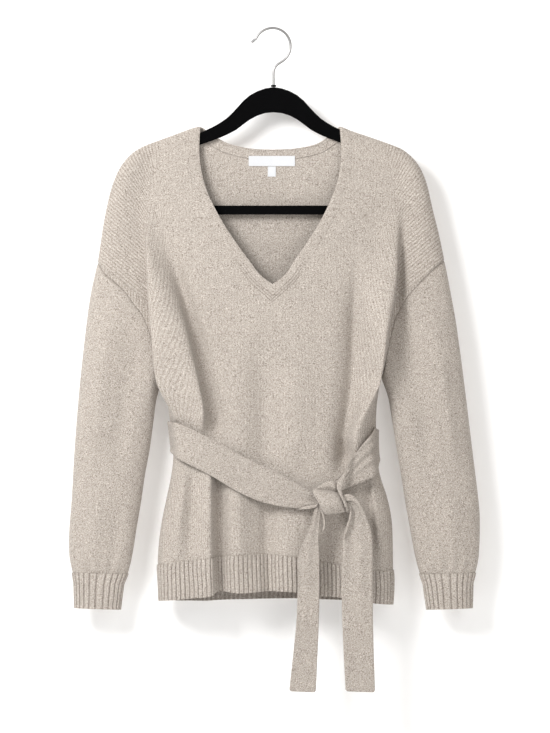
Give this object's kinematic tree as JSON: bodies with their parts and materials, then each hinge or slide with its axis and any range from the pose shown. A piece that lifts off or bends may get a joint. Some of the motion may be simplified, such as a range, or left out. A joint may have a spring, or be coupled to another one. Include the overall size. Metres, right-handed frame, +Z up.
{
  "type": "tie-waist v-neck pullover sweater on a hanger",
  "caption": "Fine-knit V-neck pullover with dropped shoulders, ribbed cuffs and hem and a knotted waist tie, hanging on a flocked hanger with a wire hook.",
  "frame": {"origin": "inner top of the hanger hook, where a rail or a nail carries it", "axes": "+X to the right as seen from the front, +Y away from the viewer to the back of the garment, +Z up"},
  "size_m": [0.5686, 0.1011, 0.9192],
  "materials": {
    "knit": "oatmeal melange fine-gauge plain knit, ribs at hem and cuffs",
    "tape": "white woven tape",
    "flock": "black flocked",
    "wire": "polished"
  },
  "bodies": {
    "root": {"body_front": "knit", "body_back": "knit", "sleeve_left": "knit", "sleeve_right": "knit", "cuff_left": "knit", "cuff_right": "knit", "hem_front": "knit", "hem_back": "knit", "neckband_front": "knit", "neckband_back": "knit", "tie_strap_left": "knit", "tie_strap_right": "knit", "tie_knot": "knit", "tie_end_left": "knit", "tie_end_right": "knit", "label": "tape", "size_tab": "tape", "hanger_arms": "flock", "hanger_bar": "flock", "hanger_collar": "flock", "hanger_hook": "wire"}
  },
  "joints": []
}
